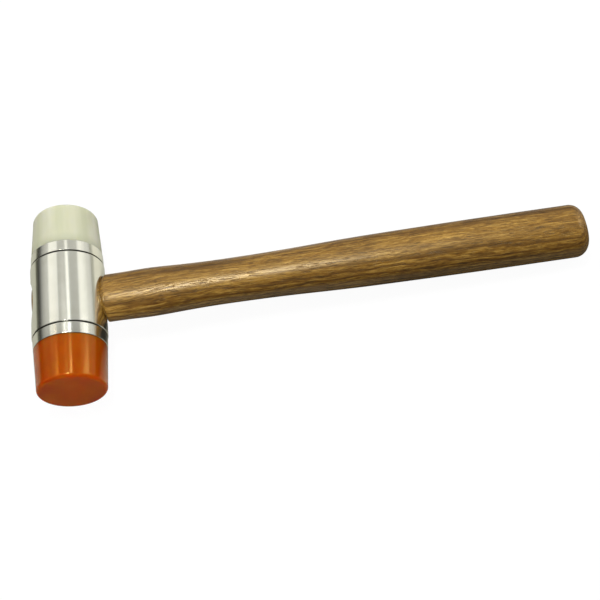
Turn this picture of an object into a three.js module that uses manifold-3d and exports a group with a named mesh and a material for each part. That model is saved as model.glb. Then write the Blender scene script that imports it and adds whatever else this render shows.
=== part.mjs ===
// Plastic-faced mallet: a turned aluminium head with a nylon and an acetate striking face
// that screw in, on an oval wooden handle wedged into an oval eye.
// Lengths are in millimetres and +Z is up. The mallet lies on its side as on a bench: the
// head's axis runs along Y with the nylon face at +Y, and the handle points along +X, tipped
// down a little so that the head and the butt both touch the surface at Z = 0.

import * as THREE from 'three';
import { mergeVertices } from 'three/addons/utils/BufferGeometryUtils.js';
import Module from 'manifold-3d';

const wasm = await Module();
wasm.setup();

// Head body
const headDiameter = 35;
const bodyLength = 38;
const jointChamfer = 0.3;

// Screw thread of the faces, modelled smooth at its mean diameter, and the tapped sockets
const threadPitch = 2;
const threadClearance = 0.3;
const socketWall = 0.9;
const socketRunout = 0.6;
const socketCountersink = 0.8;
const runoutGrooveDepth = 0.6;
const runoutGrooveLength = 1.4;
const stubChamfer = 1;

// Collars between the body and the faces: they step in from the body and taper outwards
const collarLength = 6;
const collarStep = 0.25;
const collarTaper = 0.2;
const collarWall = 6.95;
const collarBoreClearance = 0.3;

// Striking faces: each steps in from its collar and narrows to its tip
const nylonLength = 22.5;
const nylonStep = 0.15;
const nylonTaper = 1.4;
const nylonEdgeRadius = 2.8;
const acetateLength = 21.5;
const acetateStep = 0.05;
const acetateTaper = 1;
const acetateEdgeRadius = 1.7;
const faceBaseChamfer = 0.2;

// Eye through the body, flared on the side where the wedges spread the wood
const eyeWidth = 22;
const eyeThickness = 14.4;
const eyeWidthFlare = 1;
const eyeThicknessFlare = 2.2;
const wedgeMouthChamfer = 1;
const handleMouthChamfer = 0.3;

// Handle, from the head's axis to the butt
const handleReach = 247;
const gripWidth = 26;
const gripThickness = 21;
const buttEdgeRadius = 6.5;
const shoulderGap = 0.6;
const shoulderChamfer = 1.2;
const tenonInset = 1.7;

// Wedges
const woodWedgeLength = 20;
const woodWedgeHeadThickness = 3.2;
const woodWedgeTipThickness = 1;
const steelWedgeLength = 12;
const steelWedgeWidth = 10;
const steelWedgeHeadThickness = 2.2;
const steelWedgeTipThickness = 0.8;
const steelWedgeSpacing = 11;

// Gap between the wood, the wedges and the eye, and how far a cutter runs past what it cuts
const fitGap = 0.3;
const overrun = 2;

// Fineness of the round forms
const turnedSegments = 64;
const ovalSegments = 48;
const gripSteps = 24;
const arcSteps = 3;

// Power of the handle's oval outline: 2 is an ellipse, more is squarer
const ovalPower = 2.2;

// A metric thread's mean line lies this share of the pitch inside its outer diameter
const pitchLineShare = 0.65;

// Stations of the handle from its neck to the butt: place along the handle's reach, then width
// and thickness, each as a share of the grip's
const gripShares = [
  [0.119, 0.923, 0.788],
  [0.150, 0.938, 0.800],
  [0.200, 0.908, 0.802],
  [0.255, 0.862, 0.805],
  [0.331, 0.849, 0.822],
  [0.410, 0.866, 0.858],
  [0.488, 0.912, 0.908],
  [0.566, 0.954, 0.948],
  [0.640, 0.972, 0.968],
  [0.721, 0.988, 0.984],
  [0.860, 1, 1],
];

const headRadius = headDiameter / 2;
const collarRadius = headRadius - collarStep;
const collarEndRadius = collarRadius - collarTaper;
const collarBoreRadius = collarRadius - collarWall;
const tenonReach = headRadius - tenonInset;
const shoulderReach = headRadius + shoulderGap;
const eyeFlareWidth = eyeWidth + eyeWidthFlare;
const eyeFlareThickness = eyeThickness + eyeThicknessFlare;

// The thread passes through the collars. The sockets stop short of the eye, and the threaded
// stubs short of the sockets' ends.
const threadDiameter = 2 * (collarBoreRadius - collarBoreClearance);
const meanThreadRadius = (threadDiameter - pitchLineShare * threadPitch) / 2;
const socketDepth = (bodyLength - eyeFlareWidth) / 2 - socketWall;
const threadLength = socketDepth - socketRunout;

// How far the handle tips down for the edge of the butt to rest on the surface with the head
const buttEdgeAngle = Math.atan2(gripThickness / 2 - buttEdgeRadius, handleReach - buttEdgeRadius);
const buttEdgeDistance = Math.hypot(gripThickness / 2 - buttEdgeRadius, handleReach - buttEdgeRadius);
const restAngle = Math.asin((headRadius - buttEdgeRadius) / buttEdgeDistance) - buttEdgeAngle;

// Materials

function finish(color, roughness, metalness) {
  return new THREE.MeshStandardMaterial({ color, roughness, metalness });
}

const aluminium = () => finish(0xc9c8b8, 0.25, 1);
const steel = () => finish(0x8a8a86, 0.4, 1);
const whiteNylon = () => finish(0xe6e3cf, 0.45, 0);
const orangeAcetate = () => finish(0xc25a10, 0.2, 0);
const stainedWood = () => finish(0x8f6230, 0.35, 0);
const wedgeWood = () => finish(0xb08a55, 0.6, 0);

// Solids

// Joins the shared points of a closed surface and drops triangles that have no area.
function closedGeometry(geometry) {
  const bare = geometry.clone();
  bare.deleteAttribute('normal');
  bare.deleteAttribute('uv');
  const merged = mergeVertices(bare);
  const corners = merged.index.array;
  const kept = [];
  for (let i = 0; i < corners.length; i += 3) {
    const [a, b, c] = corners.slice(i, i + 3);
    if (a !== b && b !== c && c !== a) kept.push(a, b, c);
  }
  merged.setIndex(kept);
  merged.computeVertexNormals();
  return merged;
}

function toSolid(geometry) {
  const closed = closedGeometry(geometry);
  const vertProperties = new Float32Array(closed.attributes.position.array);
  const triVerts = new Uint32Array(closed.index.array);
  return new wasm.Manifold(new wasm.Mesh({ numProp: 3, vertProperties, triVerts }));
}

function toGeometry(solid) {
  const { vertProperties, triVerts } = solid.getMesh();
  const geometry = new THREE.BufferGeometry();
  geometry.setAttribute('position', new THREE.BufferAttribute(vertProperties, 3));
  geometry.setIndex(new THREE.BufferAttribute(triVerts, 1));
  geometry.computeVertexNormals();
  return geometry;
}

function cut(geometry, cutters) {
  let solid = toSolid(geometry);
  for (const cutter of cutters) solid = solid.subtract(toSolid(cutter));
  return toGeometry(solid);
}

// Turns an outline of (radius, place along Y) about the Y axis.
function turned(outline) {
  return closedGeometry(new THREE.LatheGeometry(outline.getPoints(arcSteps), turnedSegments));
}

// An oval ring across X from its half width along Y, its half thickness along Z and its place
// along X, which may change with the point's height Z.
function ovalRing(halfWidth, halfThickness, placeAt) {
  const points = [];
  for (let i = 0; i < ovalSegments; i++) {
    const angle = (i / ovalSegments) * 2 * Math.PI;
    const [c, s] = [Math.cos(angle), Math.sin(angle)];
    const y = halfWidth * Math.sign(c) * Math.abs(c) ** (2 / ovalPower);
    const z = halfThickness * Math.sign(s) * Math.abs(s) ** (2 / ovalPower);
    points.push(new THREE.Vector3(placeAt(z), y, z));
  }
  return points;
}

// A closed skin over rings that follow each other along +X, with a fan of triangles at each end.
function skinned(rings) {
  const first = rings[0];
  const last = rings[rings.length - 1];
  const centre = (ring) => new THREE.Box3().setFromPoints(ring).getCenter(new THREE.Vector3());
  const points = [...rings.flat(), centre(first), centre(last)];
  const startCentre = points.length - 2;
  const endCentre = points.length - 1;
  const lastStart = (rings.length - 1) * ovalSegments;
  const corners = [];
  for (let j = 0; j < ovalSegments; j++) {
    const next = (j + 1) % ovalSegments;
    for (let start = 0; start < lastStart; start += ovalSegments) {
      const [a, b] = [start + j, start + next];
      const [d, c] = [a + ovalSegments, b + ovalSegments];
      corners.push(a, b, c, a, c, d);
    }
    corners.push(startCentre, next, j);
    corners.push(endCentre, lastStart + j, lastStart + next);
  }
  const geometry = new THREE.BufferGeometry().setFromPoints(points);
  geometry.setIndex(corners);
  geometry.computeVertexNormals();
  return geometry;
}

// A flat-sided wedge driven along +X from x = start, with its thickness along Y and width along Z.
function wedge(start, length, headThickness, tipThickness, width) {
  const outline = new THREE.Shape();
  outline.moveTo(start, -headThickness / 2);
  outline.lineTo(start + length, -tipThickness / 2);
  outline.lineTo(start + length, tipThickness / 2);
  outline.lineTo(start, headThickness / 2);
  outline.closePath();
  const geometry = new THREE.ExtrudeGeometry(outline, { depth: width, bevelEnabled: false });
  return geometry.translate(0, 0, -width / 2);
}

// The slot that a wedge sits in: the wedge with the fit gap all round, open at its head.
function wedgeSlot(length, headThickness, tipThickness, width) {
  const flare = ((headThickness - tipThickness) / length) * overrun;
  return wedge(
    -tenonReach - overrun,
    length + overrun + fitGap,
    headThickness + flare + 2 * fitGap,
    tipThickness + 2 * fitGap,
    width,
  );
}

// Pieces of the head

// Distance of the barrel's surface from the middle plane at a height above the head's axis
const barrelSurface = (z) => Math.sqrt(headRadius ** 2 - z ** 2);

function eyeCutter() {
  const wedgeGrown = wedgeMouthChamfer + overrun;
  const handleGrown = handleMouthChamfer + overrun;
  const wedgeOuter = [eyeFlareWidth / 2 + wedgeGrown, eyeFlareThickness / 2 + wedgeGrown];
  const handleOuter = [eyeWidth / 2 + handleGrown, eyeThickness / 2 + handleGrown];
  const outside = headRadius + 2 * overrun;
  return skinned([
    ovalRing(...wedgeOuter, () => -outside),
    ovalRing(...wedgeOuter, (z) => -barrelSurface(z) - overrun),
    ovalRing(eyeFlareWidth / 2, eyeFlareThickness / 2, (z) => wedgeMouthChamfer - barrelSurface(z)),
    ovalRing(eyeWidth / 2, eyeThickness / 2, (z) => barrelSurface(z) - handleMouthChamfer),
    ovalRing(...handleOuter, (z) => barrelSurface(z) + overrun),
    ovalRing(...handleOuter, () => outside),
  ]);
}

function headBody() {
  const end = bodyLength / 2;
  const socketRadius = meanThreadRadius + threadClearance;
  const socketBottom = end - socketDepth;
  const outline = new THREE.Path();
  outline.moveTo(0, -socketBottom);
  outline.lineTo(socketRadius, -socketBottom);
  outline.lineTo(socketRadius, -end + socketCountersink);
  outline.lineTo(socketRadius + socketCountersink, -end);
  outline.lineTo(headRadius - jointChamfer, -end);
  outline.lineTo(headRadius, -end + jointChamfer);
  outline.lineTo(headRadius, end - jointChamfer);
  outline.lineTo(headRadius - jointChamfer, end);
  outline.lineTo(socketRadius + socketCountersink, end);
  outline.lineTo(socketRadius, end - socketCountersink);
  outline.lineTo(socketRadius, socketBottom);
  outline.lineTo(0, socketBottom);
  return cut(turned(outline), [eyeCutter().rotateY(restAngle)]);
}

// A collar from y = 0, where it meets the body, to its outer end, where it meets the face.
function collar() {
  const outline = new THREE.Path();
  outline.moveTo(collarBoreRadius, 0);
  outline.lineTo(collarRadius - jointChamfer, 0);
  outline.lineTo(collarRadius, jointChamfer);
  outline.lineTo(collarEndRadius, collarLength - faceBaseChamfer);
  outline.lineTo(collarEndRadius - faceBaseChamfer, collarLength);
  outline.lineTo(collarBoreRadius, collarLength);
  outline.lineTo(collarBoreRadius, 0);
  return turned(outline);
}

// A striking face from its shoulder at y = 0 out to its flat end, with the plain shank that
// carries the collar and the threaded stub below the shoulder.
function strikingFace(length, step, taper, edgeRadius) {
  const stubEnd = collarLength + threadLength;
  const shankRadius = threadDiameter / 2;
  const grooveRadius = meanThreadRadius - runoutGrooveDepth;
  const baseRadius = collarEndRadius - step;
  const slope = Math.atan2(taper, length);
  const edgeCentreHeight = length - edgeRadius;
  const edgeCentreRadius = baseRadius - (edgeRadius + Math.sin(slope) * edgeCentreHeight) / Math.cos(slope);
  const outline = new THREE.Path();
  outline.moveTo(0, -stubEnd);
  outline.lineTo(meanThreadRadius - stubChamfer, -stubEnd);
  outline.lineTo(meanThreadRadius, -stubEnd + stubChamfer);
  outline.lineTo(meanThreadRadius, -collarLength);
  outline.lineTo(grooveRadius, -collarLength);
  outline.lineTo(grooveRadius, -collarLength + runoutGrooveLength);
  outline.lineTo(shankRadius, -collarLength + runoutGrooveLength);
  outline.lineTo(shankRadius, 0);
  outline.lineTo(baseRadius - faceBaseChamfer, 0);
  outline.lineTo(baseRadius, faceBaseChamfer);
  outline.absarc(edgeCentreRadius, edgeCentreHeight, edgeRadius, slope, Math.PI / 2, false);
  outline.lineTo(0, length);
  return turned(outline);
}

// Pieces of the handle, along +X from the head's axis

function woodWedge() {
  const [head, tip] = [woodWedgeHeadThickness, woodWedgeTipThickness];
  const solid = wedge(-tenonReach, woodWedgeLength, head, tip, eyeWidth - 2 * fitGap);
  return cut(solid.rotateX(Math.PI / 2), steelSlots());
}

// The saw cut that the wooden wedge opens runs right across the tenon.
function sawCut() {
  const [head, tip] = [woodWedgeHeadThickness, woodWedgeTipThickness];
  return wedgeSlot(woodWedgeLength, head, tip, eyeFlareWidth + overrun).rotateX(Math.PI / 2);
}

function steelWedge() {
  const [head, tip] = [steelWedgeHeadThickness, steelWedgeTipThickness];
  return wedge(-tenonReach, steelWedgeLength, head, tip, steelWedgeWidth);
}

function steelSlots() {
  const width = steelWedgeWidth + 2 * fitGap;
  return [-1, 1].map((side) => {
    const slot = wedgeSlot(steelWedgeLength, steelWedgeHeadThickness, steelWedgeTipThickness, width);
    return slot.translate(0, (side * steelWedgeSpacing) / 2, 0);
  });
}

function handle() {
  const rings = [];
  // Tenon, and the chamfered shoulder just outside the eye
  const [tenonWidth, tenonThickness] = [eyeWidth / 2 - fitGap, eyeThickness / 2 - fitGap];
  const [neckWidth, neckThickness] = [tenonWidth + shoulderChamfer, tenonThickness + shoulderChamfer];
  rings.push(ovalRing(eyeFlareWidth / 2 - fitGap, eyeFlareThickness / 2 - fitGap, () => -tenonReach));
  rings.push(ovalRing(tenonWidth, tenonThickness, barrelSurface));
  rings.push(ovalRing(neckWidth, neckThickness, () => shoulderReach));
  // Swell, waist and grip
  const stations = gripShares.map(([place, width, thickness]) => new THREE.Vector3(
    place * handleReach,
    (width * gripWidth) / 2,
    (thickness * gripThickness) / 2,
  ));
  const grip = new THREE.CatmullRomCurve3(stations, false, 'centripetal');
  for (const { x, y, z } of grip.getPoints(gripSteps)) rings.push(ovalRing(y, z, () => x));
  // Rounded edge of the butt
  const edgeSteps = 2 * arcSteps;
  for (let i = 0; i <= edgeSteps; i++) {
    const angle = (i / edgeSteps) * (Math.PI / 2);
    const inset = buttEdgeRadius * (1 - Math.cos(angle));
    const place = handleReach - buttEdgeRadius * (1 - Math.sin(angle));
    rings.push(ovalRing(gripWidth / 2 - inset, gripThickness / 2 - inset, () => place));
  }
  return cut(skinned(rings), [sawCut(), ...steelSlots()]);
}

// Assembly

function piece(name, geometry, material) {
  const mesh = new THREE.Mesh(geometry, material);
  mesh.name = name;
  return mesh;
}

// A collar and its face on one end of the body; direction is +1 for the +Y end.
function headEnd(direction, collarPiece, facePiece) {
  const end = new THREE.Group();
  facePiece.position.y = collarLength;
  end.add(collarPiece, facePiece);
  end.position.y = (direction * bodyLength) / 2;
  if (direction < 0) end.rotation.x = Math.PI;
  return end;
}

const nylonShape = strikingFace(nylonLength, nylonStep, nylonTaper, nylonEdgeRadius);
const nylonFace = piece('nylon_face', nylonShape, whiteNylon());
const nylonCollar = piece('nylon_collar', collar(), aluminium());
const acetateShape = strikingFace(acetateLength, acetateStep, acetateTaper, acetateEdgeRadius);
const acetateFace = piece('acetate_face', acetateShape, orangeAcetate());
const acetateCollar = piece('acetate_collar', collar(), aluminium());
const head = new THREE.Group();
head.add(piece('head_body', headBody(), aluminium()));
head.add(headEnd(1, nylonCollar, nylonFace));
head.add(headEnd(-1, acetateCollar, acetateFace));

const handleGroup = new THREE.Group();
handleGroup.rotation.y = restAngle;
handleGroup.add(piece('handle', handle(), stainedWood()));
handleGroup.add(piece('wooden_wedge', woodWedge(), wedgeWood()));
for (const [name, side] of [['steel_wedge_left', -1], ['steel_wedge_right', 1]]) {
  const steelPiece = piece(name, steelWedge(), steel());
  steelPiece.position.y = (side * steelWedgeSpacing) / 2;
  handleGroup.add(steelPiece);
}

// The origin is the middle of the mallet's footprint on the surface that it lies on.
const mallet = new THREE.Group();
mallet.add(head, handleGroup);
mallet.updateMatrixWorld(true);
const footprint = new THREE.Box3().setFromObject(mallet, true);
mallet.position.set(
  -(footprint.min.x + footprint.max.x) / 2,
  -(footprint.min.y + footprint.max.y) / 2,
  headRadius,
);

export default mallet;
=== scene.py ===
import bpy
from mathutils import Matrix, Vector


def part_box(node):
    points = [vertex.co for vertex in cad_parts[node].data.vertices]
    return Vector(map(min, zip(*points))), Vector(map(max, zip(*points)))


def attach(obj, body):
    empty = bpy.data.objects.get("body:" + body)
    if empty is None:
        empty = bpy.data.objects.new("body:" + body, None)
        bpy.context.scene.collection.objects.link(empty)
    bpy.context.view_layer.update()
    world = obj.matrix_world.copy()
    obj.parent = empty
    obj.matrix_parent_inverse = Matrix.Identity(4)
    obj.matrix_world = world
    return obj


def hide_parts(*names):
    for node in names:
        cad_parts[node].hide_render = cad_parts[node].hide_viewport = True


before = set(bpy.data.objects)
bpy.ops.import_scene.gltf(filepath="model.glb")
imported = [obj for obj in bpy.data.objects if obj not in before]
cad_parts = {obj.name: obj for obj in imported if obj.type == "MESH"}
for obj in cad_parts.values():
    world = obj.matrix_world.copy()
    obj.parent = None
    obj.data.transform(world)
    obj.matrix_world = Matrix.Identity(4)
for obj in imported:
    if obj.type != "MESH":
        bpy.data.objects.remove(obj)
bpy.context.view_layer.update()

import math

import bmesh
import bpy
import numpy as np
from mathutils import Euler, Matrix, Vector

# Shapes are worked out in millimetres and scaled to metres when their meshes are made.
MM = 0.001

# Head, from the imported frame
head_low, head_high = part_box("head_body")
HEAD_CENTRE = (head_low + head_high) / 2
HEAD_RADIUS = (head_high.x - head_low.x) / 2 / MM
BODY_END = (head_high.y - HEAD_CENTRE.y) / MM
COLLAR_END = (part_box("nylon_collar")[1].y - HEAD_CENTRE.y) / MM
NYLON_LENGTH = (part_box("nylon_face")[1].y - HEAD_CENTRE.y) / MM - COLLAR_END
ACETATE_LENGTH = (HEAD_CENTRE.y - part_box("acetate_face")[0].y) / MM - COLLAR_END
COLLAR_LENGTH = COLLAR_END - BODY_END

# Joints between the body and the collars
GROOVE_DEPTH = 0.85
NYLON_GROOVE_HALF = 0.25
ACETATE_GROOVE_HALF = 0.12
GROOVE_CHAMFER = 0.18
GROOVE_ROUNDING = 0.57
SOFT_EDGE = 0.1

# Painted shade in the joint grooves and the eye, by its depth below the barrel: how deep it begins and
# where it is thick
JOINT_SHADE = (0.25, 0.38)
JOINT_SHADE_REACH = 0.6
EYE_SHADE = (1.1, 1.5)

# Thread, with its crest and root as shares of half a pitch
PITCH = 2.0
THREAD_CREST = 9.6
THREAD_ROOT = 8.75
CREST_SHARE = 0.125
ROOT_SHARE = 0.25
SOCKET_RADIUS = 9.65
SOCKET_DEPTH = 6.6
SOCKET_COUNTERSINK = 0.8
STUB_DEPTH = 6.0
STUB_CHAMFER = 1.0
SHANK_RADIUS = 10.0
RUNOUT_LENGTH = 1.4
RUNOUT_EDGE = 0.2

# Collars and faces
COLLAR_RADIUS = 17.25
COLLAR_END_RADIUS = 17.05
COLLAR_BORE = 10.3
NYLON_STEP = 0.15
NYLON_TAPER = 1.4
NYLON_EDGE = 2.8
ACETATE_STEP = 0.05
ACETATE_TAPER = 1.0
ACETATE_EDGE = 1.7
FACE_BASE_EDGE = 0.2

# Eye: half its width and half its thickness
EYE_HALF = (11.0, 7.2)
EYE_FLARE_HALF = (11.5, 8.3)
WEDGE_MOUTH_CHAMFER = 1.0
HANDLE_MOUTH_CHAMFER = 0.3

# A chamfer of 1 with soft edges, as depths and growths of the eye
SOFT_CHAMFER = [(-0.04, 1.2), (0.0, 1.1), (0.07, 0.97), (0.16, 0.85),
                (0.84, 0.16), (0.95, 0.06), (1.1, 0.01), (1.25, 0.0)]

# Handle, with its reaches from the head's axis
FIT_GAP = 0.3
REACH = 247.0
GRIP_HALF = (13.0, 10.5)
BUTT_EDGE = 6.5
TENON_REACH = 15.8
TENON_HALF = [half - FIT_GAP for half in EYE_HALF]
TENON_END_HALF = [half - FIT_GAP for half in EYE_FLARE_HALF]
TENON_EDGE = [(0.3, 0.0), (0.05, 0.25)]
SHOULDER_REACH = 18.1
SHOULDER_CHAMFER = 1.2
SHOULDER_EDGE = 0.15
NECK_HALF = [half + SHOULDER_CHAMFER for half in TENON_HALF]
OVAL_POWER = 2.2

# Stations along the handle: shares of its reach, of the grip's width and of its thickness
GRIP_SHARES = [
    (0.119, 0.923, 0.788),
    (0.150, 0.938, 0.800),
    (0.200, 0.908, 0.802),
    (0.255, 0.862, 0.805),
    (0.331, 0.849, 0.822),
    (0.410, 0.866, 0.858),
    (0.488, 0.912, 0.908),
    (0.566, 0.954, 0.948),
    (0.640, 0.972, 0.968),
    (0.721, 0.988, 0.984),
    (0.860, 1.0, 1.0),
]

# Wedges: length, thickness at the head and at the tip, and width
WOOD_WEDGE = (20.0, 3.2, 1.0, 21.4)
STEEL_WEDGE = (12.0, 2.2, 0.8, 10.0)
STEEL_SPACING = 11.0
WEDGE_EDGE = 0.15
CUT_OVERRUN = 2.0

# Fineness of the meshes
TURNED_STEPS = 192
OVAL_STEPS = 144
GRIP_STEPS = 150
BUTT_STEPS = 12
FILLET_STEPS = 5
FACE_FILLET_STEPS = 12
THREAD_STEPS = 20
SHARP_ANGLE = 32.0
FACE_SHARP_ANGLE = 50.0

# Rings of the tenon, the shoulder and the butt's flat, as shares of the way along or across them
TENON_SHARES = np.linspace(0.03, 0.97, 9)
SHOULDER_SHARES = (0.0, 0.1, 0.5, 0.85)
BUTT_FLAT_SHARES = (0.7, 0.35, 0.05)

# How far the handle tips down for its butt to rest on the floor with the head
edge_height = GRIP_HALF[1] - BUTT_EDGE
edge_reach = REACH - BUTT_EDGE
REST_ANGLE = (math.asin((HEAD_RADIUS - BUTT_EDGE) / math.hypot(edge_height, edge_reach))
              - math.atan2(edge_height, edge_reach))

HEAD_PLACE = Matrix.Translation(HEAD_CENTRE) @ Matrix.Scale(MM, 4)
HANDLE_TURN = Matrix.Rotation(REST_ANGLE, 4, "Y")
HANDLE_PLACE = Matrix.Translation(HEAD_CENTRE) @ HANDLE_TURN @ Matrix.Scale(MM, 4)


# Meshes

def make_piece(name, points, faces, place, sharp_angle=SHARP_ANGLE):
    mesh = bpy.data.meshes.new(name)
    mesh.from_pydata([tuple(place @ Vector(p)) for p in points], [], faces)
    mesh.validate()
    soften(mesh, sharp_angle)
    made = bpy.data.objects.new(name, mesh)
    bpy.context.scene.collection.objects.link(made)
    return made


def soften(mesh, sharp_angle=SHARP_ANGLE):
    mesh.shade_smooth()
    mesh.set_sharp_from_angle(angle=math.radians(sharp_angle))


def weigh_normals(made):
    weighted = made.modifiers.new("weighted normals", "WEIGHTED_NORMAL")
    weighted.keep_sharp = True
    weighted.weight = 100


def cut(made, cutters):
    for cutter in cutters:
        boolean = made.modifiers.new("cut", "BOOLEAN")
        boolean.operation = "DIFFERENCE"
        boolean.solver = "EXACT"
        boolean.object = cutter
    graph = bpy.context.evaluated_depsgraph_get()
    whole = bpy.data.meshes.new_from_object(made.evaluated_get(graph))
    made.modifiers.clear()
    made.data = whole
    soften(whole)
    for cutter in cutters:
        bpy.data.objects.remove(cutter)


def filleted(corners, steps=FILLET_STEPS):
    """Rounds the corners (radius, place, fillet) of an outline and gives its points."""
    points = []
    for i, (radius, place, fillet) in enumerate(corners):
        here = Vector((radius, place))
        if fillet == 0:
            points.append(here)
            continue
        back = (Vector(corners[i - 1][:2]) - here).normalized()
        ahead = (Vector(corners[(i + 1) % len(corners)][:2]) - here).normalized()
        half = back.angle(ahead) / 2
        centre = here + (back + ahead).normalized() * (fillet / math.sin(half))
        start = here + back * (fillet / math.tan(half)) - centre
        end = here + ahead * (fillet / math.tan(half)) - centre
        turn = start.normalized().angle_signed(end.normalized())
        for k in range(steps + 1):
            angle = -turn * k / steps
            points.append(centre + Matrix.Rotation(angle, 2) @ start)
    return points


def thread_rows(start, end):
    """Rows (radii round the axis, place) of a left-handed thread along +Y with a chamfered start."""
    rows = []
    count = round(abs(end - start) / PITCH * THREAD_STEPS)
    turn = np.arange(TURNED_STEPS) / TURNED_STEPS
    for k in range(count + 1):
        place = start + (end - start) * k / count
        phase = (place / PITCH + turn) % 1
        away = np.abs(2 * phase - 1)
        height = np.clip((1 - ROOT_SHARE - away) / (1 - ROOT_SHARE - CREST_SHARE), 0, 1)
        radii = THREAD_ROOT + (THREAD_CREST - THREAD_ROOT) * height
        chamfered = np.minimum(radii, THREAD_CREST - STUB_CHAMFER + abs(place - start))
        rows.append((chamfered, place))
    return rows


def turned(name, outline, sharp_angle=SHARP_ANGLE):
    """Turns an outline of (radius or radii, place) round the head's axis."""
    angles = 2 * math.pi * np.arange(TURNED_STEPS) / TURNED_STEPS
    points = []
    rings = []
    for radius, place in outline:
        if np.isscalar(radius) and radius == 0:
            rings.append([len(points)])
            points.append((0, place, 0))
            continue
        radii = np.broadcast_to(radius, TURNED_STEPS)
        rings.append(list(range(len(points), len(points) + TURNED_STEPS)))
        for r, a in zip(radii, angles):
            points.append((r * math.sin(a), place, r * math.cos(a)))
    pairs = list(zip(rings, rings[1:]))
    if len(rings[0]) > 1:
        pairs.append((rings[-1], rings[0]))
    faces = []
    for low, high in pairs:
        for j in range(TURNED_STEPS):
            n = (j + 1) % TURNED_STEPS
            if len(low) == 1:
                faces.append((low[0], high[n], high[j]))
            elif len(high) == 1:
                faces.append((low[j], low[n], high[0]))
            else:
                faces.append((low[j], low[n], high[n], high[j]))
    return make_piece(name, points, faces, HEAD_PLACE, sharp_angle)


def oval(half, growth, place_at):
    """An oval ring across X, grown all round, with its place along X given by the height Z."""
    points = []
    for i in range(OVAL_STEPS):
        angle = 2 * math.pi * i / OVAL_STEPS
        c = math.cos(angle)
        s = math.sin(angle)
        y = (half[0] + growth) * math.copysign(abs(c) ** (2 / OVAL_POWER), c)
        z = (half[1] + growth) * math.copysign(abs(s) ** (2 / OVAL_POWER), s)
        points.append(Vector((place_at(z), y, z)))
    return points


def skinned(name, rings):
    """A closed skin over oval rings that follow each other along the handle."""
    points = [p for ring in rings for p in ring]
    faces = []
    for k in range(len(rings) - 1):
        for j in range(OVAL_STEPS):
            a = k * OVAL_STEPS + j
            b = k * OVAL_STEPS + (j + 1) % OVAL_STEPS
            faces.append((a, b, b + OVAL_STEPS, a + OVAL_STEPS))
    last = (len(rings) - 1) * OVAL_STEPS
    faces.append(tuple(reversed(range(OVAL_STEPS))))
    faces.append(tuple(range(last, last + OVAL_STEPS)))
    return make_piece(name, points, faces, HANDLE_PLACE)


def barrel(z):
    """How far the barrel's surface is from the head's axis plane at the height z."""
    return math.sqrt(HEAD_RADIUS ** 2 - z ** 2)


def wedge(name, start, length, head, tip, width, upright, edge=0.0):
    """A wedge driven along +X. Its thickness is along Y if it stands upright, or along Z."""
    points = []
    for x, half in ((start, head / 2), (start + length, tip / 2)):
        for t in (-half, half):
            for w in (-width / 2, width / 2):
                points.append((x, t, w) if upright else (x, w, t))
    faces = [(0, 1, 3, 2), (4, 6, 7, 5), (0, 4, 5, 1), (2, 3, 7, 6), (0, 2, 6, 4), (1, 5, 7, 3)]
    made = make_piece(name, points, faces, HANDLE_PLACE)
    work = bmesh.new()
    work.from_mesh(made.data)
    bmesh.ops.recalc_face_normals(work, faces=work.faces)
    if edge:
        bmesh.ops.bevel(work, geom=work.edges[:], offset=edge * MM, segments=3, profile=0.5,
                        affect="EDGES")
    work.to_mesh(made.data)
    work.free()
    soften(made.data)
    return made


def wedge_slot(length, head, tip, width, upright, y=0.0):
    """A cutter for a wedge with its fit gap, which runs out past the tenon's end."""
    flare = (head - tip) / length * CUT_OVERRUN
    slot = wedge("slot", -TENON_REACH - CUT_OVERRUN, length + CUT_OVERRUN + FIT_GAP,
                 head + flare + 2 * FIT_GAP, tip + 2 * FIT_GAP, width, upright)
    slot.data.transform(Matrix.Translation((0, y * MM, 0)))
    return slot


# Pieces of the head

def chamfered_lip(radius, relief, joint, groove, way):
    """A groove's wall and its chamfered edge, on the side of the joint that way gives."""
    wall = joint + way * groove
    return [(relief, wall, 0), (radius - GROOVE_CHAMFER, wall, SOFT_EDGE / 2),
            (radius, wall + way * GROOVE_CHAMFER, SOFT_EDGE)]


def rounded_lip(radius, relief, joint, groove, way):
    """The same with a rounded edge, as polishing leaves it."""
    wall = joint + way * groove
    return [(relief, wall, 0), (radius, wall, GROOVE_ROUNDING)]


def head_body():
    bottom = BODY_END - SOCKET_DEPTH
    relief = HEAD_RADIUS - GROOVE_DEPTH
    socket = [
        (0, bottom, 0),
        (SOCKET_RADIUS, bottom, 0),
        (SOCKET_RADIUS, BODY_END - SOCKET_COUNTERSINK, 0),
        (SOCKET_RADIUS + SOCKET_COUNTERSINK, BODY_END, SOFT_EDGE),
        (relief, BODY_END, 0),
    ]
    acetate_end = socket + chamfered_lip(HEAD_RADIUS, relief, BODY_END, ACETATE_GROOVE_HALF, -1)
    nylon_end = socket + rounded_lip(HEAD_RADIUS, relief, BODY_END, NYLON_GROOVE_HALF, -1)
    outline = [(r, -y, f) for r, y, f in acetate_end] + list(reversed(nylon_end))
    body = turned("barrel", [tuple(p) for p in filleted(outline)])
    cut(body, [eye()])
    return body


def mouth_lip(chamfer):
    """Depths below the barrel's surface and growths of the eye's rings at a softened chamfer."""
    outside = (-CUT_OVERRUN, chamfer + CUT_OVERRUN)
    return [outside] + [(depth * chamfer, growth * chamfer) for depth, growth in SOFT_CHAMFER]


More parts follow.
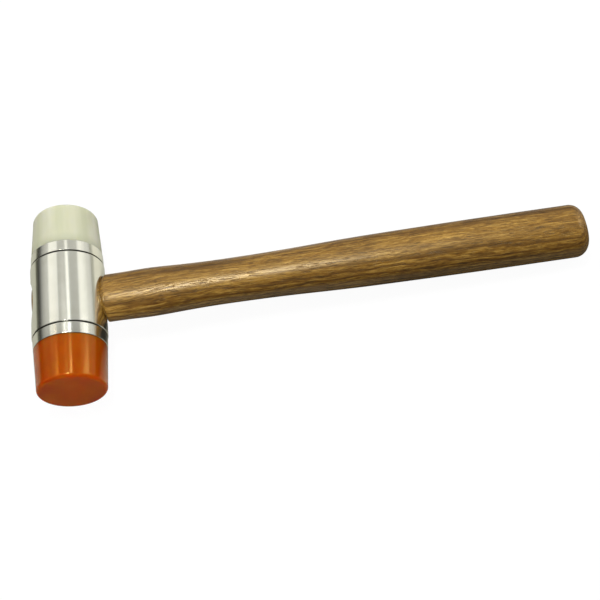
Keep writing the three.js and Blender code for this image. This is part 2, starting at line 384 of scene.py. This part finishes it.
def eye():
    """A cutter for the oval eye, from the wedges' side to the handle's."""
    outside = HEAD_RADIUS + 2 * CUT_OVERRUN
    rings = []
    for depth, growth in mouth_lip(WEDGE_MOUTH_CHAMFER):
        rings.append(oval(EYE_FLARE_HALF, growth, lambda z, d=depth: d - barrel(z)))
    for depth, growth in reversed(mouth_lip(HANDLE_MOUTH_CHAMFER)):
        rings.append(oval(EYE_HALF, growth, lambda z, d=depth: barrel(z) - d))
    first = [Vector((-outside, p.y, p.z)) for p in rings[0]]
    last = [Vector((outside, p.y, p.z)) for p in rings[-1]]
    return skinned("eye", [first] + rings + [last])


def collar(name, direction):
    relief = COLLAR_RADIUS - GROOVE_DEPTH
    if direction > 0:
        lip = chamfered_lip(COLLAR_RADIUS, relief, 0, NYLON_GROOVE_HALF, 1)
    else:
        lip = rounded_lip(COLLAR_RADIUS, relief, 0, ACETATE_GROOVE_HALF, 1)
    corners = [(COLLAR_BORE, 0, SOFT_EDGE), (relief, 0, 0)] + lip + [
        (COLLAR_END_RADIUS, COLLAR_LENGTH, FACE_BASE_EDGE),
        (COLLAR_BORE, COLLAR_LENGTH, SOFT_EDGE),
    ]
    return head_end_piece(name, filleted(corners), BODY_END, direction)


def striking_face(name, length, step, taper, edge, direction):
    """A face with its shank in the collar and its threaded stub in the body's socket."""
    base = COLLAR_END_RADIUS - step
    stub_end = -COLLAR_LENGTH - STUB_DEPTH
    runout = -COLLAR_LENGTH + RUNOUT_LENGTH
    corners = [
        (THREAD_ROOT, -COLLAR_LENGTH, 0),
        (THREAD_ROOT, runout, RUNOUT_EDGE),
        (SHANK_RADIUS, runout, SOFT_EDGE),
        (SHANK_RADIUS, 0, SOFT_EDGE),
        (base, 0, FACE_BASE_EDGE),
        (base - taper, length, edge),
        (0, length, 0),
    ]
    shell = [tuple(p) for p in filleted(corners, FACE_FILLET_STEPS)]
    outline = [(0, stub_end)] + thread_rows(stub_end, -COLLAR_LENGTH) + shell
    return head_end_piece(name, outline, COLLAR_END, direction, FACE_SHARP_ANGLE)


def head_end_piece(name, outline, start, direction, sharp_angle=SHARP_ANGLE):
    """Turns an outline that is measured outwards from its seat on the head."""
    made = turned(name, [(p[0], p[1] + start) for p in outline], sharp_angle)
    if direction < 0:
        middle = Matrix.Translation(HEAD_CENTRE)
        made.data.transform(middle @ Matrix.Rotation(math.pi, 4, "X") @ middle.inverted())
    return made


# Pieces of the handle

def smooth_curve(places, values, at):
    """A natural cubic spline through the values at the places."""
    count = len(places)
    step = np.diff(places)
    system = np.eye(count)
    right = np.zeros(count)
    for i in range(1, count - 1):
        slope_before = (values[i] - values[i - 1]) / step[i - 1]
        slope_after = (values[i + 1] - values[i]) / step[i]
        system[i, i - 1] = step[i - 1]
        system[i, i] = 2 * (step[i - 1] + step[i])
        system[i, i + 1] = step[i]
        right[i] = 6 * (slope_after - slope_before)
    bend = np.linalg.solve(system, right)
    i = np.clip(np.searchsorted(places, at) - 1, 0, count - 2)
    t = at - places[i]
    h = step[i]
    slope = (values[i + 1] - values[i]) / h - h * (2 * bend[i] + bend[i + 1]) / 6
    return values[i] + t * (slope + t * (bend[i] / 2 + t * (bend[i + 1] - bend[i]) / (6 * h)))


def tenon_rings():
    """The tenon, from the end that fills the eye's flare to its saddle on the barrel."""
    rings = []
    for inset, depth in TENON_EDGE:
        rings.append(oval(TENON_END_HALF, -inset, lambda z, d=depth: d - TENON_REACH))
    for share in TENON_SHARES:
        half = [end + (mouth - end) * share for end, mouth in zip(TENON_END_HALF, TENON_HALF)]
        rings.append(oval(half, 0, lambda z, s=share: -TENON_REACH * (1 - s) + s * barrel(z)))
    return rings


def shoulder_rings():
    """The shoulder's chamfer, from the saddle on the barrel to the neck."""
    rings = []
    for share in SHOULDER_SHARES:
        rings.append(oval(TENON_HALF, SHOULDER_CHAMFER * share,
                          lambda z, s=share: SHOULDER_REACH * s + barrel(z) * (1 - s)))
    rings.append(oval(NECK_HALF, -SHOULDER_EDGE / 2, lambda z: SHOULDER_REACH))
    return rings


def grip_rings():
    neck_start = SHOULDER_REACH + SHOULDER_EDGE
    grip_end = REACH - BUTT_EDGE
    places = np.array([neck_start] + [REACH * share[0] for share in GRIP_SHARES] + [grip_end])
    along = np.linspace(neck_start, grip_end, GRIP_STEPS)
    curves = []
    for side in (0, 1):
        stations = [GRIP_HALF[side] * share[side + 1] for share in GRIP_SHARES]
        values = np.array([NECK_HALF[side]] + stations + [GRIP_HALF[side]])
        curves.append(np.minimum(smooth_curve(places, values, along), GRIP_HALF[side]))
    return [oval(half, 0, lambda z, x=x: x) for x, *half in zip(along, *curves)]


def butt_rings():
    """The rounded edge of the butt and its flat."""
    rings = []
    for angle in np.linspace(0, math.pi / 2, BUTT_STEPS + 1)[1:]:
        inset = BUTT_EDGE * (1 - math.cos(angle))
        place = REACH - BUTT_EDGE * (1 - math.sin(angle))
        rings.append(oval(GRIP_HALF, -inset, lambda z, x=place: x))
    for share in BUTT_FLAT_SHARES:
        half = [(grip - BUTT_EDGE) * share for grip in GRIP_HALF]
        rings.append(oval(half, 0, lambda z: REACH))
    return rings


def steel_slots():
    length, head, tip, width = STEEL_WEDGE
    return [wedge_slot(length, head, tip, width + 2 * FIT_GAP, upright=True,
                       y=side * STEEL_SPACING / 2) for side in (-1, 1)]


def handle():
    made = skinned("ash_handle", tenon_rings() + shoulder_rings() + grip_rings() + butt_rings())
    length, head, tip, _ = WOOD_WEDGE
    saw_cut = wedge_slot(length, head, tip, 2 * EYE_FLARE_HALF[0] + CUT_OVERRUN, upright=False)
    cut(made, [saw_cut] + steel_slots())
    return made


def wooden_wedge():
    length, head, tip, width = WOOD_WEDGE
    made = wedge("spreading_wedge", -TENON_REACH, length, head, tip, width, upright=False,
                 edge=WEDGE_EDGE)
    cut(made, steel_slots())
    return made


def steel_wedge(name, side):
    length, head, tip, width = STEEL_WEDGE
    made = wedge(name, -TENON_REACH, length, head, tip, width, upright=True, edge=WEDGE_EDGE)
    made.data.transform(Matrix.Translation((0, side * STEEL_SPACING / 2 * MM, 0)))
    return made


# Colours of the materials

WHITE = (1.0, 1.0, 1.0)
BLACK = (0.0, 0.0, 0.0)

BRIGHT_METAL = (0.91, 0.90, 0.78)
DULL_METAL = (0.84, 0.83, 0.70)
SCORED_METAL = (0.62, 0.62, 0.52)
# Painted shade on the metal in the joint grooves and the eye's mouth
PAINTED_RECESS_SHADE = (0.085, 0.082, 0.055)
DARK_STEEL = (0.22, 0.215, 0.205)
PALE_STEEL = (0.47, 0.465, 0.45)

GREENISH_NYLON = (0.61, 0.62, 0.43)
NYLON = (0.67, 0.67, 0.49)
PALE_NYLON = (0.72, 0.715, 0.575)
# Painted shade on the white face near its collar
NYLON_SHADE = (0.54, 0.55, 0.36)
NYLON_GLOW = (1.0, 0.9, 0.6)

DEEP_ORANGE = (0.36, 0.055, 0.0001)
LIGHT_ORANGE = (0.44, 0.078, 0.0002)
# Painted shade in a thin band where the orange face meets its collar
ORANGE_SHADE = (0.08, 0.012, 0.0002)
ORANGE_GLOW = (1.0, 0.28, 0.05)
ORANGE_SHINE = (1.0, 0.7, 0.16)

DARK_FIBRE = (0.120, 0.042, 0.004)
FIBRE = (0.33, 0.163, 0.021)
PALE_FIBRE = (0.60, 0.345, 0.070)
EARLY_WOOD = (0.13, 0.050, 0.006)
PORE = (0.055, 0.019, 0.002)
BLOTCH = (0.62, 0.57, 0.50)
# Darker brown for the handle's +Y side
FAR_SIDE_DARK = (0.02, 0.006, 0.001)
# Stain soaked into the tenon's end grain, with painted shade from the eye's mouth
SHADED_SOAKED_END = (0.05, 0.028, 0.010)
WOOD_SHINE = (1.0, 0.77, 0.34)

DARK_BEECH = (0.42, 0.26, 0.115)
PALE_BEECH = (0.60, 0.42, 0.215)
BEECH_FLECK = (0.28, 0.155, 0.065)

# Growth rings of the handle's wood: their width and the pith, in millimetres from the head's centre
RING_WIDTH = 1.9
PITH = (0, 3, -44)

# Where colours and painted shade change, in millimetres from the collar, the tenon's end and the
# handle's middle
NYLON_SHADE_REACH = 5.0
ORANGE_SHADE_REACH = (0.1, 0.8)
SHADED_SOAKED_END_REACH = (0.1, 1.6)
FLAT_RINGS_EDGE = (1.5, 8.0)
FAR_SIDE_EDGE = (1.0, 9.0)


# Materials

def put(tree, socket, value):
    if isinstance(value, bpy.types.NodeSocket):
        tree.links.new(value, socket)
    else:
        socket.default_value = value


def add(tree, kind, inputs=None, **settings):
    made = tree.nodes.new("ShaderNode" + kind)
    for key, value in settings.items():
        setattr(made, key, value)
    for key, value in (inputs or {}).items():
        put(tree, made.inputs[key], value)
    return made


def ramp(tree, factor, *stops):
    made = add(tree, "ValToRGB", {"Fac": factor})
    while len(made.color_ramp.elements) < len(stops):
        made.color_ramp.elements.new(1.0)
    for element, (place, colour) in zip(made.color_ramp.elements, stops):
        element.position = place
        grey = isinstance(colour, (int, float))
        element.color = (colour, colour, colour, 1) if grey else (*colour, 1)
    return made.outputs["Color"]


def mix(tree, factor, first, second, blend="MIX"):
    made = add(tree, "Mix", data_type="RGBA", blend_type=blend)
    put(tree, made.inputs[0], factor)
    for place, colour in ((6, first), (7, second)):
        linked = isinstance(colour, bpy.types.NodeSocket)
        put(tree, made.inputs[place], colour if linked else (*colour, 1))
    return made.outputs[2]


def maths(tree, operation, first, second=0.0, third=0.0):
    made = add(tree, "Math", operation=operation)
    for place, value in enumerate((first, second, third)):
        put(tree, made.inputs[place], value)
    return made.outputs[0]


def between(tree, value, low, high):
    """Goes from low to high while a value goes from 0 to 1."""
    return maths(tree, "MULTIPLY_ADD", value, high - low, low)


def vector_maths(tree, operation, first, second, third=(0, 0, 0)):
    return add(tree, "VectorMath", {0: first, 1: second, 2: third}, operation=operation).outputs[0]


def axes(tree, vector):
    return add(tree, "SeparateXYZ", {0: vector}).outputs


def fade(tree, value, start, end, first=1.0, last=0.0):
    """Goes from first to last while a value goes from start to end."""
    inputs = {"Value": value, "From Min": start, "From Max": end, "To Min": first, "To Max": last}
    return add(tree, "MapRange", inputs).outputs["Result"]


def noise(tree, vector, scale, detail=2.0, roughness=0.5):
    """Noise over a vector in millimetres, stretched by a scale for each direction."""
    stretched = vector_maths(tree, "MULTIPLY", vector, scale)
    inputs = {"Vector": stretched, "Scale": 1.0, "Detail": detail, "Roughness": roughness}
    return add(tree, "TexNoise", inputs).outputs


def grain(tree, vector, scale, detail=2.0, roughness=0.5):
    return noise(tree, vector, scale, detail, roughness)["Fac"]


def swayed(tree, moved, place, scale, detail, reach):
    """Moved coordinates, shifted by up to about half a reach by noise over the place."""
    sway = noise(tree, place, scale, detail)["Color"]
    centred = vector_maths(tree, "SUBTRACT", sway, (0.5, 0.5, 0.5))
    return vector_maths(tree, "MULTIPLY_ADD", centred, reach, moved)


def bump(tree, height, depth_mm):
    inputs = {"Height": height, "Distance": depth_mm * MM, "Strength": 1.0}
    return add(tree, "Bump", inputs).outputs["Normal"]


def new_material(name, turn=0.0, **values):
    """A Principled material and its coordinates in millimetres from the head's centre."""
    made = bpy.data.materials.new(name)
    made.use_nodes = True
    tree = made.node_tree
    shader = tree.nodes["Principled BSDF"]
    for key, value in values.items():
        shader.inputs[key.replace("_", " ")].default_value = value
    place = add(tree, "TexCoord").outputs["Object"]
    moved = vector_maths(tree, "SUBTRACT", place, HEAD_CENTRE)
    if turn:
        moved = add(tree, "VectorRotate", {"Vector": moved, "Angle": -turn},
                    rotation_type="Y_AXIS").outputs[0]
    scaled = add(tree, "VectorMath", {0: moved, "Scale": 1 / MM}, operation="SCALE").outputs[0]
    return made, tree, shader, scaled


def recess_shade_mask(tree, place):
    """White where shade is painted on the metal of the head: in the joint grooves and inside the eye.
    """
    part = axes(tree, place)
    across = maths(tree, "POWER", part["X"], 2.0)
    upwards = maths(tree, "POWER", part["Z"], 2.0)
    radius = maths(tree, "SQRT", maths(tree, "ADD", across, upwards))
    in_eye = fade(tree, radius, HEAD_RADIUS - EYE_SHADE[1], HEAD_RADIUS - EYE_SHADE[0])
    sunk = fade(tree, radius, HEAD_RADIUS - JOINT_SHADE[1], HEAD_RADIUS - JOINT_SHADE[0])
    along = maths(tree, "ABSOLUTE", part["Y"])
    from_joint = maths(tree, "ABSOLUTE", maths(tree, "SUBTRACT", along, BODY_END))
    at_joint = maths(tree, "LESS_THAN", from_joint, JOINT_SHADE_REACH)
    return maths(tree, "MAXIMUM", in_eye, maths(tree, "MULTIPLY", sunk, at_joint))


def aluminium():
    made, tree, shader, place = new_material(
        "turned_aluminium", Metallic=1.0, Anisotropic=0.5, Anisotropic_Rotation=0.25)
    smudge = grain(tree, place, (0.12, 0.12, 0.12), detail=4.0, roughness=0.6)
    lines = grain(tree, place, (0.02, 9.0, 0.02), detail=3.0, roughness=0.7)
    wide_lines = grain(tree, place, (0.03, 1.1, 0.03))
    tone = ramp(tree, smudge, (0.3, DULL_METAL), (0.7, BRIGHT_METAL))
    turned_tone = mix(tree, maths(tree, "MULTIPLY", lines, 0.12), tone, SCORED_METAL)
    # Painted shade darkens the metal in the joint grooves and the eye's mouth, where the metal is also
    # rougher
    recess_shade = maths(tree, "MULTIPLY", recess_shade_mask(tree, place), 0.96)
    put(tree, shader.inputs["Base Color"], mix(tree, recess_shade, turned_tone, PAINTED_RECESS_SHADE))
    polished = between(tree, smudge, 0.095, 0.165)
    rough = maths(tree, "MULTIPLY_ADD", recess_shade, 0.4, polished)
    put(tree, shader.inputs["Roughness"], maths(tree, "MULTIPLY_ADD", lines, 0.05, rough))
    height = maths(tree, "MULTIPLY_ADD", wide_lines, 0.5, lines)
    put(tree, shader.inputs["Normal"], bump(tree, height, depth_mm=0.0007))
    tangent = add(tree, "Tangent", direction_type="RADIAL", axis="Y").outputs[0]
    put(tree, shader.inputs["Tangent"], tangent)
    return made


def nylon():
    made, tree, shader, place = new_material(
        "white_nylon", Subsurface_Weight=0.7, Subsurface_Scale=0.008, IOR=1.53)
    shader.inputs["Subsurface Radius"].default_value = NYLON_GLOW
    streaks = grain(tree, place, (0.12, 0.014, 0.12), detail=3.0, roughness=0.55)
    lines = grain(tree, place, (0.03, 3.5, 0.03), detail=3.0, roughness=0.6)
    colour = ramp(tree, streaks, (0.36, GREENISH_NYLON), (0.5, NYLON), (0.64, PALE_NYLON))
    along = axes(tree, place)["Y"]
    # Painted shade: the nylon darkens towards its collar
    root = fade(tree, along, COLLAR_END, COLLAR_END + NYLON_SHADE_REACH, first=0.75)
    put(tree, shader.inputs["Base Color"], mix(tree, root, colour, NYLON_SHADE))
    put(tree, shader.inputs["Roughness"], between(tree, lines, 0.42, 0.54))
    fine = grain(tree, place, (1.4, 1.4, 1.4), detail=3.0)
    height = maths(tree, "MULTIPLY_ADD", fine, 0.6, lines)
    put(tree, shader.inputs["Normal"], bump(tree, height, depth_mm=0.008))
    return made


def acetate():
    made, tree, shader, place = new_material(
        "orange_acetate", Subsurface_Weight=1.0, Subsurface_Scale=0.013, IOR=1.5)
    shader.inputs["Subsurface Radius"].default_value = ORANGE_GLOW
    shader.inputs["Specular IOR Level"].default_value = 1.0
    shader.inputs["Specular Tint"].default_value = (*ORANGE_SHINE, 1)
    cloud = grain(tree, place, (0.07, 0.05, 0.07), detail=3.0)
    colour = ramp(tree, cloud, (0.3, DEEP_ORANGE), (0.7, LIGHT_ORANGE))
    along = maths(tree, "ABSOLUTE", axes(tree, place)["Y"])
    # Painted shade: a thin dark band where the orange face meets its collar
    seat_start, seat_end = [COLLAR_END + reach for reach in ORANGE_SHADE_REACH]
    seat = fade(tree, along, seat_start, seat_end, first=0.8)
    put(tree, shader.inputs["Base Color"], mix(tree, seat, colour, ORANGE_SHADE))
    lines = grain(tree, place, (0.03, 2.5, 0.03))
    put(tree, shader.inputs["Roughness"], between(tree, cloud, 0.075, 0.155))
    fine = grain(tree, place, (0.7, 0.7, 0.7), detail=3.0)
    height = maths(tree, "MULTIPLY_ADD", fine, 0.8, lines)
    put(tree, shader.inputs["Normal"], bump(tree, height, depth_mm=0.005))
    return made


def early_wood(tree, wandering, part):
    """White in the porous early wood of the growth rings, weaker where they lie flat."""
    from_pith = vector_maths(tree, "SUBTRACT", wandering, PITH)
    across = vector_maths(tree, "MULTIPLY", from_pith, (0, 1, 1))
    distance = add(tree, "VectorMath", {0: across}, operation="LENGTH").outputs["Value"]
    ring = maths(tree, "FRACT", maths(tree, "DIVIDE", distance, RING_WIDTH))
    early = ramp(tree, ring, (0.0, 0.85), (0.15, 1.0), (0.4, 0.25), (0.65, 0.0), (0.93, 0.12),
                 (1.0, 0.85))
    from_middle = maths(tree, "ABSOLUTE", part["Y"])
    edge_on = fade(tree, from_middle, *FLAT_RINGS_EDGE, first=0.35, last=1.0)
    return maths(tree, "MULTIPLY", early, edge_on)


def stained_wood():
    made, tree, shader, place = new_material(
        "stained_ash", REST_ANGLE, Coat_Weight=0.22, Coat_Roughness=0.25, Coat_IOR=1.6)
    shader.inputs["Specular IOR Level"].default_value = 0.8
    shader.inputs["Specular Tint"].default_value = (*WOOD_SHINE, 1)
    part = axes(tree, place)
    wandering = swayed(tree, place, place, (0.009, 0.035, 0.035), detail=2.5, reach=(0, 9, 9))
    wandering = swayed(tree, wandering, place, (0.07, 0.25, 0.25), detail=2.0, reach=(0, 2, 2))
    early = early_wood(tree, wandering, part)

    broad_fibre = grain(tree, wandering, (0.032, 0.8, 0.8), detail=5.0, roughness=0.7)
    fine_fibre = grain(tree, wandering, (0.22, 1.6, 1.6), detail=4.0, roughness=0.7)
    fibre = maths(tree, "MULTIPLY_ADD", fine_fibre, 0.5, maths(tree, "MULTIPLY", broad_fibre, 0.5))
    wood = ramp(tree, fibre, (0.38, DARK_FIBRE), (0.49, FIBRE), (0.60, PALE_FIBRE))
    wood = mix(tree, maths(tree, "MULTIPLY", early, 0.8), wood, EARLY_WOOD)

    open_grain = grain(tree, wandering, (0.13, 1.8, 1.8), detail=3.0, roughness=0.6)
    pores = ramp(tree, open_grain, (0.535, 0.0), (0.60, 1.0))
    dark = maths(tree, "MULTIPLY", pores, between(tree, early, 0.55, 0.85))
    wood = mix(tree, dark, wood, PORE)

    blotches = grain(tree, place, (0.02, 0.11, 0.11), detail=4.0, roughness=0.6)
    shade = ramp(tree, blotches, (0.36, BLOTCH), (0.6, WHITE))
    wood = mix(tree, 1.0, wood, shade, "MULTIPLY")
    # The wood is darker towards its +Y side
    far_side = fade(tree, part["Y"], *FAR_SIDE_EDGE, last=0.66)
    wood = mix(tree, far_side, FAR_SIDE_DARK, wood)
    # Stain soaked into the end grain and painted shade from the eye's mouth darken the tenon's end
    soaked_start, soaked_end = [reach - TENON_REACH for reach in SHADED_SOAKED_END_REACH]
    shaded_soaked = fade(tree, part["X"], soaked_start, soaked_end, first=0.85)
    put(tree, shader.inputs["Base Color"], mix(tree, shaded_soaked, wood, SHADED_SOAKED_END))

    put(tree, shader.inputs["Roughness"], between(tree, dark, 0.33, 0.58))
    height = maths(tree, "SUBTRACT", maths(tree, "MULTIPLY", fibre, 0.25), dark)
    put(tree, shader.inputs["Normal"], bump(tree, height, depth_mm=0.06))
    put(tree, shader.inputs["Coat Normal"], bump(tree, height, depth_mm=0.05))
    return made


def bare_wood():
    made, tree, shader, place = new_material("bare_beech", REST_ANGLE, Roughness=0.7)
    fibre = grain(tree, place, (0.08, 3.0, 3.0), detail=4.0, roughness=0.65)
    fleck = grain(tree, place, (0.5, 5.0, 1.2))
    colour = ramp(tree, fibre, (0.3, DARK_BEECH), (0.7, PALE_BEECH))
    flecked = mix(tree, ramp(tree, fleck, (0.58, 0.0), (0.68, 0.5)), colour, BEECH_FLECK)
    put(tree, shader.inputs["Base Color"], flecked)
    put(tree, shader.inputs["Normal"], bump(tree, fibre, depth_mm=0.08))
    return made


def dull_steel():
    made, tree, shader, place = new_material("wedge_steel", REST_ANGLE, Metallic=1.0)
    scale_marks = grain(tree, place, (0.5, 0.5, 0.5), detail=5.0, roughness=0.7)
    drawn = grain(tree, place, (0.15, 6.0, 6.0))
    colour = ramp(tree, scale_marks, (0.35, DARK_STEEL), (0.65, PALE_STEEL))
    put(tree, shader.inputs["Base Color"], colour)
    put(tree, shader.inputs["Roughness"], between(tree, scale_marks, 0.3, 0.6))
    height = maths(tree, "ADD", scale_marks, drawn)
    put(tree, shader.inputs["Normal"], bump(tree, height, depth_mm=0.02))
    return made


# Assembly

def dress(made, body, node, material):
    made.data.materials.clear()
    made.data.materials.append(material)
    weigh_normals(made)
    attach(made, body)
    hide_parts(node)


metal = aluminium()
white = nylon()
orange = acetate()
wood = stained_wood()
wedge_wood = bare_wood()
steel = dull_steel()

dress(head_body(), "head", "head_body", metal)
dress(collar("upper_collar", 1), "nylon_collar", "nylon_collar", metal)
dress(collar("lower_collar", -1), "acetate_collar", "acetate_collar", metal)
dress(striking_face("white_face", NYLON_LENGTH, NYLON_STEP, NYLON_TAPER, NYLON_EDGE, 1),
      "nylon_face", "nylon_face", white)
dress(striking_face("orange_face", ACETATE_LENGTH, ACETATE_STEP, ACETATE_TAPER, ACETATE_EDGE, -1),
      "acetate_face", "acetate_face", orange)
dress(handle(), "head", "handle", wood)
dress(wooden_wedge(), "head", "wooden_wedge", wedge_wood)
dress(steel_wedge("left_steel_wedge", -1), "head", "steel_wedge_left", steel)
dress(steel_wedge("right_steel_wedge", 1), "head", "steel_wedge_right", steel)


# Floor

HALF_FLOOR = 6.0
PAPER_SEEN = (0.06, 0.06, 0.06)
PAPER_GLOW = 0.96
PAPER_LIGHTING = (0.32, 0.32, 0.3)

# Painted reflection: what the metal mirrors of the paper, by its X in metres
PAINTED_MIRROR_PAPER = [
    (-0.3, (0.1, 0.1, 0.08)),
    (-0.25, (0.50, 0.50, 0.44)),
    (-0.105, (0.54, 0.54, 0.48)),
    (-0.065, (0.74, 0.73, 0.66)),
    (0.0, (0.74, 0.73, 0.66)),
    (0.05, (0.4, 0.4, 0.36)),
]
MIRRORED_START = -0.4
MIRRORED_WIDTH = 0.5

# Where painted shadow darkens it, as ranges of Y in front of the head and beside the handle, and of X
# at its start
FRONT_SHADOW_EDGE = (-0.055, -0.043)
HANDLE_SHADOW_SIDE = (0.012, 0.032)
HANDLE_SHADOW_START = (-0.1, -0.085)


def mirrored_paper(tree):
    """The paper beside the head as a painted reflection, with painted shadow in front of it and under
    the handle.
    """
    spot = axes(tree, add(tree, "TexCoord").outputs["Object"])
    beside = fade(tree, spot["X"], MIRRORED_START, MIRRORED_START + MIRRORED_WIDTH, first=0.0,
                  last=1.0)
    stops = [((x - MIRRORED_START) / MIRRORED_WIDTH, colour) for x, colour in PAINTED_MIRROR_PAPER]
    # Painted shadow in front of the head and under the handle
    front_shadow = fade(tree, spot["Y"], *FRONT_SHADOW_EDGE, first=0.25, last=1.0)
    right_of_head = fade(tree, spot["X"], *HANDLE_SHADOW_START, first=0.0, last=0.7)
    painted_handle_shadow = fade(tree, maths(tree, "ABSOLUTE", spot["Y"]), *HANDLE_SHADOW_SIDE)
    mirrored = mix(tree, front_shadow, BLACK, ramp(tree, beside, *stops))
    return mix(tree, maths(tree, "MULTIPLY", right_of_head, painted_handle_shadow), mirrored, BLACK)


def paper():
    """White to the camera, and greyer in the light that it throws back and in mirrors."""
    made = bpy.data.materials.new("white_paper")
    made.use_nodes = True
    tree = made.node_tree
    shader = tree.nodes["Principled BSDF"]
    rays = add(tree, "LightPath").outputs
    unseen = mix(tree, rays["Is Glossy Ray"], PAPER_LIGHTING, mirrored_paper(tree))
    put(tree, shader.inputs["Base Color"], mix(tree, rays["Is Camera Ray"], unseen, PAPER_SEEN))
    shader.inputs["Roughness"].default_value = 0.9
    shader.inputs["Specular IOR Level"].default_value = 0.1
    shader.inputs["Emission Color"].default_value = (*WHITE, 1)
    glow = maths(tree, "MULTIPLY", rays["Is Camera Ray"], PAPER_GLOW)
    put(tree, shader.inputs["Emission Strength"], glow)
    return made


floor_mesh = bpy.data.meshes.new("floor")
floor_mesh.from_pydata([(-HALF_FLOOR, -HALF_FLOOR, 0), (HALF_FLOOR, -HALF_FLOOR, 0),
                        (HALF_FLOOR, HALF_FLOOR, 0), (-HALF_FLOOR, HALF_FLOOR, 0)], [], [(0, 1, 2, 3)])
floor_mesh.materials.append(paper())
floor = bpy.data.objects.new("floor", floor_mesh)
bpy.context.scene.collection.objects.link(floor)


# Light

CEILING = 1.2
SIDE_BOX_X = 1.4
SIDE_BOX_Y = 0.95
COOL = (0.8, 0.88, 1.0)
WARM = (1.0, 0.83, 0.6)


def softbox(name, centre, target, size, radiance, colour=WHITE, roll=0.0):
    """A lamp of an even radiance that faces a target, rolled by an angle in degrees."""
    lamp = bpy.data.lights.new(name, "AREA")
    lamp.shape = "RECTANGLE"
    lamp.size, lamp.size_y = size
    lamp.energy = radiance * math.pi * size[0] * size[1]
    lamp.color = colour
    made = bpy.data.objects.new(name, lamp)
    aim = (Vector(target) - Vector(centre)).to_track_quat("-Z", "Y").to_matrix().to_4x4()
    made.matrix_world = Matrix.Translation(centre) @ aim @ Matrix.Rotation(math.radians(roll), 4, "Z")
    bpy.context.scene.collection.objects.link(made)
    return made


def ceiling_box(name, x, y, size, radiance, colour=WHITE, roll=0.0):
    """A softbox that faces down, to show as a streak on the turned pieces."""
    softbox(name, (x, y, CEILING), (x, y, 0), size, radiance, colour, roll)


def side_box(name, height, size, radiance):
    """A softbox to the right of the head that faces left."""
    softbox(name, (SIDE_BOX_X, SIDE_BOX_Y, height), (0, SIDE_BOX_Y, height), size, radiance)


def fill(name, centre, size, radiance):
    """A softbox that lights matt surfaces and is not mirrored in glossy ones."""
    softbox(name, centre, (0, 0, 0), size, radiance).visible_glossy = False


ceiling_box("strip", 0.135, 0.73, size=(0.19, 0.56), radiance=0.65, roll=7)
ceiling_box("front_strip", 0.14, 0.39, size=(0.13, 0.2), radiance=10.0, colour=COOL, roll=-20)
ceiling_box("left_box", -0.98, 1.115, size=(0.95, 0.97), radiance=0.47)
ceiling_box("left_strip", -0.97, 0.45, size=(0.5, 0.22), radiance=2.4, colour=WARM)
side_box("right_box", height=0.95, size=(1.4, 1.2), radiance=0.45)
side_box("low_right_box", height=0.18, size=(1.4, 0.34), radiance=0.6)
softbox("right_strip", centre=(0.865, 0.32, 0.58), target=(-0.115, -0.04, 0.0175),
        size=(0.22, 0.36), radiance=2.7)
softbox("key", centre=(-0.12, 0.185, 1.22), target=(0, 0, 0), size=(0.25, 0.32), radiance=27.0)
fill("overhead", centre=(0, 0.2, 1.6), size=(1.6, 1.2), radiance=0.8)
fill("right_fill", centre=(1.5, 0.1, 1.0), size=(1.0, 1.0), radiance=1.6)
fill("left_fill", centre=(-1.5, 0.1, 1.1), size=(1.0, 1.0), radiance=0.8)
fill("front_fill", centre=(-0.1, -1.3, 0.7), size=(1.0, 0.8), radiance=0.3)

# A narrow beam on the orange face's flat end
face_spot = softbox("face_spot", centre=(-0.118, -0.25, 0.1), target=(-0.118, -0.047, 0.0175),
                    size=(0.05, 0.05), radiance=0.62)
face_spot.data.spread = math.radians(18)
face_spot.visible_glossy = False

# Brightness of the walls by the height that a ray goes towards
WALLS = [(0.0, 0.05), (0.1, 0.09), (0.27, 0.42), (0.48, 0.64), (0.8, 0.52)]
SEEN_WALLS = (0.85, 0.85, 0.85)

# The wall in front is dim up to a direction along Y, and the wall behind is full from another on
FRONT_LEVEL = 0.15
FRONT_END = 0.15
MIRRORED_FRONT_LEVEL = 0.45
MIRRORED_FRONT_END = 0.38
BACK_START = 0.46


def studio():
    """Grey walls round the mallet."""
    made = bpy.data.worlds.new("studio")
    made.use_nodes = True
    tree = made.node_tree
    aim = axes(tree, add(tree, "TexCoord").outputs["Generated"])
    rays = add(tree, "LightPath").outputs
    mirrored = rays["Is Glossy Ray"]
    start = between(tree, mirrored, FRONT_END, MIRRORED_FRONT_END)
    front = between(tree, mirrored, FRONT_LEVEL, MIRRORED_FRONT_LEVEL)
    back = fade(tree, aim["Y"], start, BACK_START, first=0.0, last=1.0)
    surround = mix(tree, maths(tree, "MAXIMUM", front, back), BLACK, ramp(tree, aim["Z"], *WALLS))
    background = tree.nodes["Background"]
    put(tree, background.inputs["Color"], mix(tree, rays["Is Camera Ray"], surround, SEEN_WALLS))
    return made


bpy.context.scene.world = studio()


# Camera

CAMERA_PLACE = HEAD_CENTRE + Vector((0.11128, -0.2834, 0.4619))
CAMERA_TURN = (29.543, 4.819, -7.715)
SENSOR_WIDTH = 36
FOCAL_LENGTH = 69.0
NEAREST = 0.01

lens = bpy.data.cameras.new("camera")
lens.sensor_width = SENSOR_WIDTH
lens.lens = FOCAL_LENGTH
lens.clip_start = NEAREST
camera = bpy.data.objects.new("camera", lens)
camera.location = CAMERA_PLACE
camera.rotation_euler = Euler([math.radians(angle) for angle in CAMERA_TURN], "XYZ")
bpy.context.scene.collection.objects.link(camera)
bpy.context.scene.camera = camera

bpy.context.scene.view_settings.view_transform = "Standard"
bpy.context.scene.view_settings.look = "None"
bpy.context.scene.view_settings.exposure = 0.0
